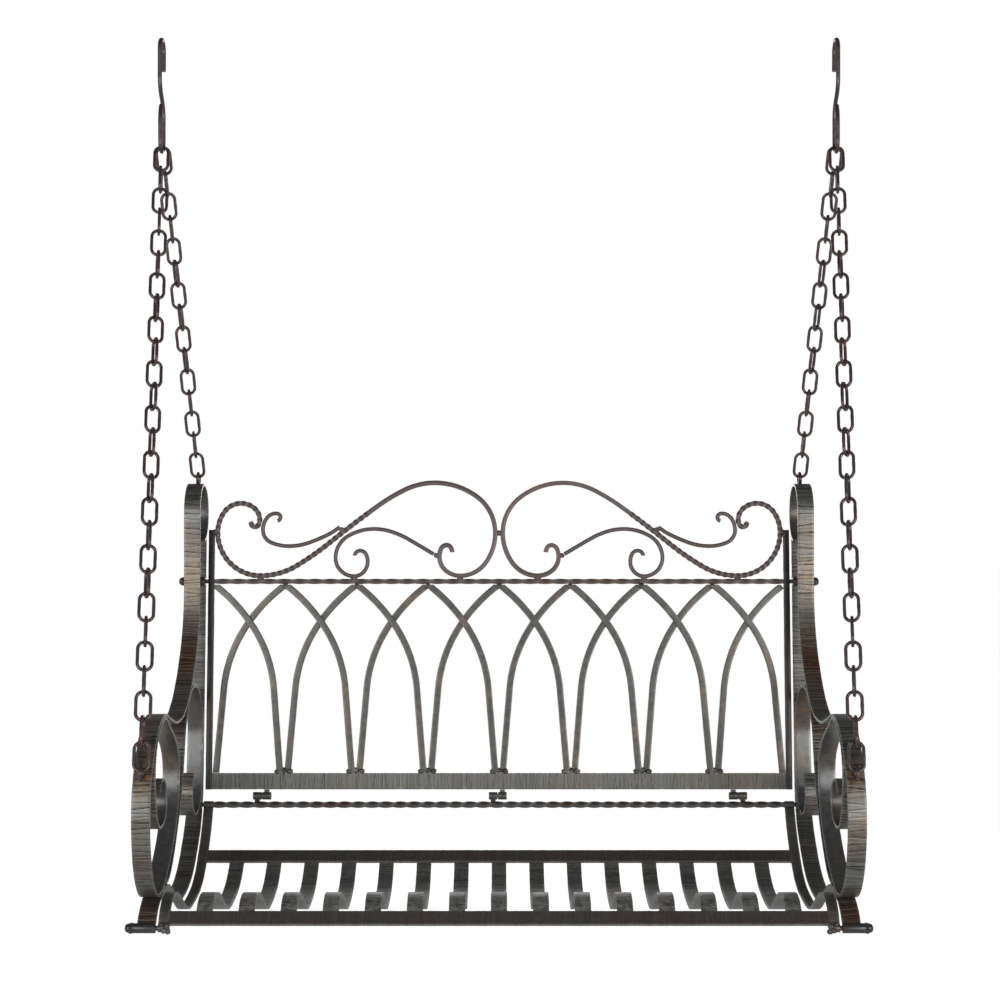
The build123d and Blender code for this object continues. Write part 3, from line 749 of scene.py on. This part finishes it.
# Seat
front_rail_edge = (-5, 7, 45)
rear_rail_edge = (425, 34, 38)
front_rail_rear = ahead(front_rail_edge, FRONT_RAIL_WIDTH)
rear_rail_rear = ahead(rear_rail_edge, REAR_RAIL_WIDTH)
slat_run = [front_rail_rear, (64, 46, 0), (152, 18, -30), (242, -11, 0), rear_rail_edge]
front_lug_root = (*on_circle((0, 0), LUG_REACH, 60)[:2], 60)
rear_lug_root = (*on_circle(SEAT_HINGE_AXIS, LUG_REACH, 240)[:2], 60)
side_bar_run = [
    beside(front_lug_root, SEAT_THICKNESS / 2),
    *slat_run,
    rear_rail_rear,
    beside(rear_lug_root, SEAT_THICKNESS / 2),
]
slat_pitch = (2 * SEAT_INNER + SLAT_WIDTH) / (SLAT_COUNT + 1)
# Sitting down rubs the slats pale on the front of their curl; the same pale spot reaches the curl's underside
# as a painted highlight
slat_wear_and_highlight = ((12, 26, 0.9),)
slat_face = under(slat_run, SEAT_THICKNESS)
slat_section = (SEAT_THICKNESS, SLAT_WIDTH)
for number in range(SLAT_COUNT):
    slat_middle = (number - (SLAT_COUNT - 1) / 2) * slat_pitch
    slat = peened_bar(
        slat_face, slat_section, "high", 41 + number, depth=0.4, spacing=5.5, cuts=(0, 5), worn=slat_wear_and_highlight
    )
    place = side_place(slat_middle - SLAT_WIDTH / 2)
    settle(slat, "slat_" + str(number + 1), place, "swing", seat_iron, ["seat_slat_" + str(number + 1)])
side_bar_face = under(side_bar_run, SEAT_THICKNESS)
side_bar_section = (SEAT_THICKNESS, SEAT_OUTER - SEAT_INNER)
for side, across in (("left", -SEAT_OUTER), ("right", SEAT_INNER)):
    side_bar = peened_bar(
        side_bar_face, side_bar_section, "high", 61, depth=0.4, spacing=7.0, cuts=(0, 4), step=1.8
    )
    settle(side_bar, side + "_side_bar", side_place(across), "swing", rail_iron, [side + "_seat_side_bar"])


def straight_rail(length, width, thickness, seed, depth, spacing):
    """Straight peened rail along X, its peened face up, centred on X."""
    corner = (width / 2, thickness / 2)
    rail = flat_blank(length, (-corner[0], -corner[1]), corner, 1.7, (7, 0), BAR_EDGE)
    hammer(rail, length, "high", 1, depth, spacing, seed)
    rail.data.transform(Matrix.Translation((-length / 2, 0, 0)))
    return rail


def rail_place(station, width, thickness):
    """Place of a seat rail whose front edge is at a station on the seat's surface."""
    middle = beside(ahead(station, width / 2), -thickness / 2)
    tilt = Matrix.Rotation(math.radians(station[2]), 4, "X")
    return across_place(middle[:2]) @ tilt


for name, edge, width, seed in (
    ("front_rail", front_rail_edge, FRONT_RAIL_WIDTH, 71),
    ("rear_rail", rear_rail_edge, REAR_RAIL_WIDTH, 72),
):
    rail = straight_rail(2 * SEAT_INNER, width, SEAT_THICKNESS, seed, depth=0.4, spacing=7.5)
    settle(rail, name, rail_place(edge, width, SEAT_THICKNESS), "swing", rail_iron, ["seat_" + name])


def twisted_blank(length, size, turn_length, step, corner, share=1.0):
    """Straight square bar along X with worn corners, twisted about its own length over a share of it."""
    half = size / 2
    bar = flat_blank(length, (-half, -half), (half, half), step, (0, 0), size * corner)
    twist(bar, share * length / turn_length, share)
    return bar


seat_half = SEAT_INNER - SEATING_GAP
hinge_rail = twisted_blank(2 * seat_half, HINGE_RAIL_SIZE, HINGE_RAIL_TWIST, step=3.0, corner=0.08)
hinge_rail.data.transform(Matrix.Translation((-seat_half, 0, 0)))
settle(hinge_rail, "hinge_rail", across_place(SEAT_HINGE_AXIS), "swing", rail_iron, ["seat_hinge_rail"])

# Back panel
panel = back_place()
bottom_section = (BOTTOM_RAIL_HEIGHT, BOTTOM_RAIL_THICKNESS)
bottom_rail = straight_rail(2 * BACK_INNER, *bottom_section, 81, depth=0.45, spacing=7.0)
bottom_place = panel @ Matrix.Translation((0, BOTTOM_RAIL_FOOT + BOTTOM_RAIL_HEIGHT / 2, 0))
settle(bottom_rail, "bottom_rail", bottom_place, "back", arch_iron, ["back_bottom_rail"])
back_half = BACK_INNER - SEATING_GAP
top_rail = twisted_blank(2 * back_half, TOP_RAIL_SIZE, TOP_RAIL_TWIST, step=2.4, corner=0.2)
top_rail.data.transform(Matrix.Translation((-back_half, TOP_RAIL_RISE, 0)))
settle(top_rail, "top_rail", panel, "back", rod_iron, ["back_top_rail"])
for side, across in (("left", -BACK_INNER - UPRIGHT_SIZE / 2), ("right", BACK_INNER + UPRIGHT_SIZE / 2)):
    half = UPRIGHT_SIZE / 2
    length = UPRIGHT_TOP - BOTTOM_RAIL_FOOT
    upright = flat_blank(length, (-half, -half), (half, half), 5, (1, 1), UPRIGHT_CORNER)
    soften(upright, amount=0.25, grain=22, seed=across)
    stand = Matrix.Translation((across, BOTTOM_RAIL_FOOT, 0)) @ Matrix.Rotation(math.pi / 2, 4, "Z")
    settle(upright, side + "_upright", panel @ stand, "back", black_iron, [side + "_back_upright"])

bay_width = 2 * BACK_INNER / BAY_COUNT
rail_half = TOP_RAIL_SIZE / math.sqrt(2)
arch_foot = BOTTOM_RAIL_FOOT + BOTTOM_RAIL_HEIGHT + SEATING_GAP
arch_top = TOP_RAIL_RISE - rail_half - SEATING_GAP


def saw(piece, place, outward):
    """Cut a piece off square to a direction and close the cut."""
    only(piece)
    bpy.ops.object.mode_set(mode="EDIT")
    bpy.ops.mesh.select_all(action="SELECT")
    bpy.ops.mesh.bisect(plane_co=place, plane_no=outward, use_fill=True, clear_outer=True)
    bpy.ops.object.mode_set(mode="OBJECT")


def arch_bar(boundary, head_steps, half_run, low, seed):
    """One bar of a bay, bent from its foot to its head and sawn flush with the rails and uprights."""
    foot = (boundary + ARCH_FOOT_OFFSET, arch_foot, 90 - ARCH_LEG_LEAN)
    head = (boundary + bay_width, arch_top, ARCH_HEAD_HEADING)
    leg_ends = [ahead(foot, -ARCH_BAR_THICKNESS), ahead(foot, ARCH_LEG_RISE)]
    bends = full_run(half_run(leg_ends + [ahead(head, step) for step in head_steps]))
    half = ARCH_BAR_WIDTH / 2
    bar = flat_blank(
        run_length(bends), (-half, low), (half, low + ARCH_BAR_THICKNESS),
        spacing=4, cross_cuts=(3, 0), broken_edge=0.6,
    )
    soften(bar, amount=0.22, grain=16, seed=seed)
    bend(bar, bends)
    saw(bar, (0, arch_foot, 0), (0, -1, 0))
    saw(bar, (0, arch_top, 0), (0, 1, 0))
    for side in (-1, 1):
        saw(bar, (side * back_half, 0, 0), (side, 0, 0))
    return bar


rear_low = -ARCH_BAR_THICKNESS - SEATING_GAP / 2
front_low = SEATING_GAP / 2
rear_bars = []
front_bars = []
for bay in range(BAY_COUNT):
    boundary = bay * bay_width - BACK_INNER
    rear_bars.append(arch_bar(boundary, REAR_ARCH_STEPS, list, rear_low, bay * 5))
    front_bars.append(arch_bar(boundary, FRONT_ARCH_STEPS, flipped, front_low, bay * 7))
settle(join(rear_bars), "rear_arches", panel, "back", arch_iron, ["rear_arch_bars"])
settle(join(front_bars), "front_arches", panel, "back", arch_iron, ["front_arch_bars"])


# Crest of the back, drawn up the panel's slope from the middle of the top rail
def crest(across, rise, heading):
    """Station of the right half of the crest, at a rise above the top rail."""
    return (across, TOP_RAIL_RISE + rise, heading)


scroll_seat = TOP_RAIL_RISE + rail_half + SEATING_GAP + SCROLL_RADIUS
tendril_seat = TOP_RAIL_RISE + rail_half + SEATING_GAP + TENDRIL_RADIUS
scroll_run = [
    crest(495, 118.5, 245),
    crest(486.5, 108.5, 180),
    crest(476.5, 122.5, 90),
    crest(514, 155.7, 0),
    crest(559.7, 98.4, 270),
    (474, scroll_seat, 180),
    crest(338, 76.3, 141),
    crest(241, 150.7, 144),
    crest(128, 196.8, 180),
    crest(7.5, SCROLL_MEETING, 270),
    (77, scroll_seat, 0),
    crest(118.5, 49.2, 90),
    crest(104, 72.3, 180),
    crest(93, 58.3, 265),
]
outer_tendril_run = [
    crest(441, 120.5, 160),
    crest(435, 127.6, 90),
    crest(444, 135.6, 0),
    crest(470, 102.5, 270),
    crest(418, 70.3, 180),
    crest(338, 94.4, 153),
    crest(317, 108.0, 147),
]
inner_tendril_run = [
    crest(130, 54.3, 31),
    crest(181, 84.4, 30),
    crest(249, 104.5, 0),
    crest(325, 47.2, 270),
    (288, tendril_seat, 180),
    crest(261, 39.2, 90),
    crest(276, 61.3, 0),
    crest(287, 51.2, 275),
]
for side, half_run in (("right", list), ("left", flipped)):
    bends = full_run(half_run(scroll_run))
    length = run_length(bends)
    scroll = twisted_blank(length, TOP_RAIL_SIZE, CREST_TWIST, step=2.0, corner=0.16, share=CREST_TWIST_SHARE)
    bend(scroll, bends)
    settle(scroll, side + "_scroll", panel, "back", rod_iron, [side + "_crest_scroll"])
    for tendril, run in (("outer_tendril", outer_tendril_run), ("inner_tendril", inner_tendril_run)):
        bends = full_run(half_run(run))
        rod = round_blank(run_length(bends), TENDRIL_RADIUS, spacing=3.0, sides=14, rounding=1.6)
        soften(rod, amount=0.2, grain=12, seed=3)
        bend(rod, bends)
        settle(rod, side + "_" + tendril + "_rod", panel, "back", rod_iron, [side + "_" + tendril])

# Hooks, chains and eyes
hook_run = [
    (HOOK_RADIUS, HOOK_RISE - HOOK_TIP_DROP, 90),
    (HOOK_RADIUS, HOOK_RISE, 90),
    (0, HOOK_RISE + HOOK_RADIUS, 180),
    (-HOOK_RADIUS, HOOK_RISE, 270),
    (-HOOK_RADIUS, HOOK_RISE - HOOK_TIP_DROP * 1.5, 270),
    (RING_RADIUS, 45, 270),
    (RING_RADIUS, 0, 270),
    (0, -RING_RADIUS, 180),
    (-RING_RADIUS, 0, 90),
    (-RING_RADIUS, 35, 90),
    (-7, 68, 55),
]
hook_bends = full_run(hook_run)
for side, across in (("left", -HOOK_SPACING / 2), ("right", HOOK_SPACING / 2)):
    wire = round_blank(run_length(hook_bends), HOOK_WIRE / 2, spacing=2.5, sides=16, rounding=1.6)
    soften(wire, amount=0.2, grain=14, seed=across)
    bend(wire, hook_bends)
    place = side_place(across) @ Matrix.Translation((*RING_MIDDLE, 0))
    settle(wire, side + "_hook_wire", place, "hooks", chain_iron, [side + "_hook"])

link_bend = (LINK_INNER_WIDTH + CHAIN_WIRE) / 2
link_straight = (CHAIN_PITCH + LINK_CLEARANCE + CHAIN_WIRE) / 2 - link_bend


def chain_link(seed):
    """One welded link along X, lying in XY: a ring pulled out into two straight sides."""
    bpy.ops.object.select_all(action="DESELECT")
    bpy.ops.mesh.primitive_torus_add(
        major_radius=link_bend, minor_radius=CHAIN_WIRE / 2, major_segments=26, minor_segments=10
    )
    link = bpy.context.object
    for vertex in link.data.vertices:
        vertex.co.x += link_straight if vertex.co.x > 0 else -link_straight
    pick_edges(link, lambda first, second: abs(first.x - second.x) > link_straight)
    bpy.ops.mesh.subdivide(number_cuts=6)
    bpy.ops.object.mode_set(mode="OBJECT")
    for vertex in link.data.vertices:
        weld = math.exp(-((vertex.co.x / LINK_WELD_LENGTH) ** 2)) if vertex.co.y > 0 else 0
        core = Vector((vertex.co.x, link_bend, 0))
        vertex.co += (vertex.co - core) * LINK_WELD_SWELL * weld
    soften(link, amount=0.22, grain=9, seed=seed)
    return link


def chain(side, eye, count, seed):
    """Links from the hook's ring to an eye, each turned a quarter from the one above."""
    sign = 1 if side == "right" else -1
    top = Vector((sign * HOOK_SPACING / 2, 0, RING_MIDDLE[1] - HANG_HEIGHT))
    end = Vector((sign * FRAME_MID, eye[0] - HANG_DEPTH, eye[1] - HANG_HEIGHT))
    run = (end - top).normalized()
    wide = (Vector((1, 0, 0)) - run * run.x).normalized()
    first = RING_RADIUS - HOOK_WIRE / 2 - LINK_CLEARANCE + (CHAIN_PITCH + LINK_CLEARANCE) / 2
    luck = random.Random(seed)
    links = []
    for number in range(count):
        drift = sign * LINK_DRIFT * math.sin(math.pi * (number + 0.5) / count) + luck.uniform(-5, 5)
        across = Matrix.Rotation(math.radians(drift), 3, run) @ (wide if number % 2 == 0 else run.cross(wide))
        turn = Matrix((run, across, run.cross(across))).transposed().to_4x4()
        link = chain_link(seed + number)
        link.data.transform(Matrix.Translation(top + run * (first + number * CHAIN_PITCH)) @ turn)
        links.append(link)
    return join(links)


eye_seat = EYE_RADIUS + EYE_WIRE / 2 + SEATING_GAP
front_eye = beside(front_eye_seat, -eye_seat)[:2]
rear_eye = on_circle(LOOP_CENTRE, LOOP_RADIUS + eye_seat, REAR_EYE_ANGLE)[:2]
for side, sign in (("left", -1), ("right", 1)):
    for end, eye, count in (("front", front_eye, FRONT_LINKS), ("rear", rear_eye, REAR_LINKS)):
        links = chain(side, eye, count, 100 * sign + count)
        name = side + "_" + end
        settle(links, name + "_links", Matrix.Scale(METRES, 4), "swing", chain_iron, [name + "_chain"])
        bpy.ops.object.select_all(action="DESELECT")
        bpy.ops.mesh.primitive_torus_add(
            major_radius=EYE_RADIUS, minor_radius=EYE_WIRE / 2, major_segments=32, minor_segments=14
        )
        ring = bpy.context.object
        soften(ring, amount=0.25, grain=10, seed=count)
        place = side_place(sign * FRAME_MID) @ Matrix.Translation((*eye, 0))
        settle(ring, name + "_ring", place, "swing", chain_iron, [name + "_eye"])


# Welds: rough beads where bars are joined
def weld_beads(spots, radius, stretch, seed):
    """Rough beads of weld metal at a list of places, stretched across, as one piece."""
    beads = []
    for number, spot in enumerate(spots):
        bpy.ops.object.select_all(action="DESELECT")
        bpy.ops.mesh.primitive_ico_sphere_add(subdivisions=3, radius=radius)
        bead = bpy.context.object
        soften(bead, radius * 0.3, radius, seed + 3.7 * number)
        bead.data.transform(Matrix.Translation(spot) @ Matrix.Diagonal((stretch, 1, 1, 1)))
        beads.append(bead)
    return join(beads)


arch_spots = []
for bay in range(1, BAY_COUNT):
    boundary = bay * bay_width - BACK_INNER
    arch_spots += [(boundary + across, arch_foot + rise, 0) for across, rise in FOOT_BEADS]
    arch_spots.append((boundary, arch_top - HEAD_BEAD_DROP, 0))
arch_welds = weld_beads(arch_spots, radius=5.6, stretch=1.1, seed=5)
settle(arch_welds, "arch_welds", panel, "back", arch_iron)
rail_line = TOP_RAIL_RISE + rail_half
rail_beads = (77, 288, 474)
rod_beads = ((565, 98.4), (314, 103.5), (124, 52))
crest_spots = [(0, TOP_RAIL_RISE + SCROLL_MEETING, 0)]
for sign in (-1, 1):
    crest_spots += [(sign * across, rail_line, 0) for across in rail_beads]
    crest_spots += [(sign * across, TOP_RAIL_RISE + rise, 0) for across, rise in rod_beads]
crest_welds = weld_beads(crest_spots, radius=5.2, stretch=1.2, seed=9)
settle(crest_welds, "crest_welds", panel, "back", rod_iron)
front_seat = beside(front_eye_seat, -EYE_BEAD_RISE)
rear_seat = on_circle(LOOP_CENTRE, LOOP_RADIUS + EYE_BEAD_RISE, REAR_EYE_ANGLE)
eye_spots = []
for sign in (-1, 1):
    for seat in (front_seat, rear_seat):
        eye_spots.append((*seat[:2], sign * FRAME_MID))
eye_welds = weld_beads(eye_spots, radius=5.0, stretch=1.0, seed=13)
settle(eye_welds, "eye_welds", side_place(0), "swing", chain_iron)
lug_beads = ((-4, 4, 563), (-5, -3, 568), (-2, -5, 562), (1, 5, 573))
lug_spots = [(depth, height, sign * across) for sign in (-1, 1) for depth, height, across in lug_beads]
lug_welds = weld_beads(lug_spots, radius=5.2, stretch=1.0, seed=17)
settle(lug_welds, "lug_welds", side_place(0), "swing", rail_iron)

# Small turned pieces keep their CAD shape, with their edges broken
for name, material in (
    ("acorn_nuts", turned_iron),
    ("frame_bolts", chain_iron),
    ("left_frame_bushes", turned_iron),
    ("right_frame_bushes", turned_iron),
    ("seat_lugs", rail_iron),
    # The knuckles take the paler arch iron: painted light in the shade under the bottom rail
    ("seat_knuckles", arch_iron),
    ("back_knuckles", arch_iron),
    ("hinge_pins", chain_iron),
):
    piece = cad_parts[name]
    piece.data.materials.clear()
    piece.data.materials.append(material)
    weld = piece.modifiers.new("Weld", "WELD")
    weld.merge_threshold = CAD_WELD_REACH * METRES
    broken = piece.modifiers.new("Broken_edges", "BEVEL")
    broken.width = CAD_EDGE * METRES
    broken.segments = 2
    broken.limit_method = "ANGLE"
    broken.angle_limit = math.radians(CAD_EDGE_ANGLE)

# Camera: level, in front of the swing, at the height of the back's crest
camera_data = bpy.data.cameras.new("front_camera")
camera_data.lens = 70
camera_data.sensor_width = 36
camera_data.shift_x = 0.001
camera = bpy.data.objects.new("front_camera", camera_data)
camera.location = (0, (-CAMERA_DISTANCE - HANG_DEPTH) * METRES, (CAMERA_HEIGHT - HANG_HEIGHT) * METRES)
camera.rotation_euler = (math.pi / 2, 0, 0)
bpy.context.collection.objects.link(camera)
bpy.context.scene.camera = camera

# Floor and light: white to the eye, and a bright sweep under a dark ceiling to the iron
bpy.ops.object.select_all(action="DESELECT")
bpy.ops.mesh.primitive_plane_add(size=60, location=(0, 0, (-FLOOR_DEPTH - HANG_HEIGHT) * METRES))
floor = bpy.context.object
floor.name = "floor"
floor_paint = bpy.data.materials.new("white_floor_paint")
floor_paint.use_nodes = True
tree = floor_paint.node_tree
tree.nodes.clear()
seen = node(tree, "ShaderNodeLightPath", out="Is Camera Ray")
matt = node(tree, "ShaderNodeBsdfDiffuse", Color=linear("#f4f4f2"))
glow = node(tree, "ShaderNodeEmission", Color=(1, 1, 1, 1), Strength=1.21)
white = node(tree, "ShaderNodeMixShader", i0=0.8, i1=matt, i2=glow)
sweep = node(tree, "ShaderNodeEmission", Color=(1, 1, 1, 1), Strength=0.5)
paint = node(tree, "ShaderNodeMixShader", i0=seen, i1=sweep, i2=white)
node(tree, "ShaderNodeOutputMaterial", Surface=paint)
floor.data.materials.append(floor_paint)

world = bpy.data.worlds.new("studio")
world.use_nodes = True
bpy.context.scene.world = world
tree = world.node_tree
tree.nodes.clear()
seen = node(tree, "ShaderNodeLightPath", out="Is Camera Ray")
heading = node(tree, "ShaderNodeTexCoord", out="Generated")
height = node(tree, "ShaderNodeSeparateXYZ", out="Z", Vector=heading)
level = node(tree, *SPREAD, i0=height, i1=0.0, i2=0.55, i3=0.7, i4=0.10)
lit = node(tree, "ShaderNodeBackground", Color=(1, 1, 1, 1), Strength=level)
white = node(tree, "ShaderNodeBackground", Color=(1, 1, 1, 1), Strength=1.0)
air = node(tree, "ShaderNodeMixShader", i0=seen, i1=lit, i2=white)
node(tree, "ShaderNodeOutputWorld", Surface=air)

# Large square lamps aimed at the middle of the swing
for name, power, place in (
    ("key_light", 41, (-1.9, -3.6, -0.7)),
    ("fill_light", 53, (2.1, -3.6, -0.9)),
    ("rim_light", 20, (0, 3.2, -0.4)),
):
    lamp_data = bpy.data.lights.new(name, "AREA")
    lamp_data.energy = power
    lamp_data.size = LAMP_SIZE
    lamp = bpy.data.objects.new(name, lamp_data)
    lamp.location = place
    lamp.rotation_euler = (LAMP_TARGET - Vector(place)).to_track_quat("-Z", "Y").to_euler()
    bpy.context.collection.objects.link(lamp)

bpy.context.scene.view_settings.view_transform = "Standard"
